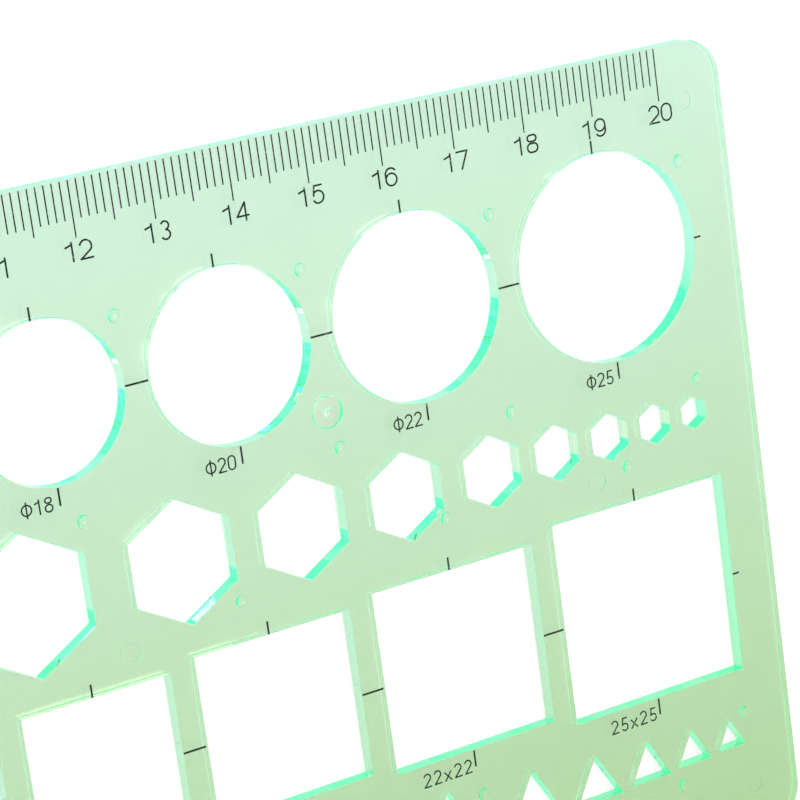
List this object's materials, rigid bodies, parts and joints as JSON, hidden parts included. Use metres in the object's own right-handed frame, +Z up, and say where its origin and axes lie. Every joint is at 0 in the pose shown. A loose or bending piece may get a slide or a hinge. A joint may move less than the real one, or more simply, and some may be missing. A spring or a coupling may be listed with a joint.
{
  "type": "circle template",
  "caption": "Flat drawing template moulded in clear green plastic, with circle, hexagon, square and triangle openings, a printed centimetre scale and riser pips underneath.",
  "frame": {"origin": "below the middle of the sheet, on the surface it lies on, at the level of the riser pips' tips", "axes": "+X along the scale towards its high end, +Y across the sheet towards the scale's edge, +Z up through the printed top face"},
  "size_m": [0.219, 0.1036, 0.0023],
  "materials": {
    "sheet": "glossy translucent green injection moulding, polished faces",
    "ink": "matte black screen-printed ink"
  },
  "bodies": {
    "root": {"template_sheet": "sheet", "millimetre_lines": "ink", "half_centimetre_lines": "ink", "centimetre_lines": "ink", "scale_numerals": "ink", "circle_centre_marks": "ink", "circle_size_labels": "ink", "square_centre_marks": "ink", "square_size_labels": "ink"}
  },
  "joints": []
}
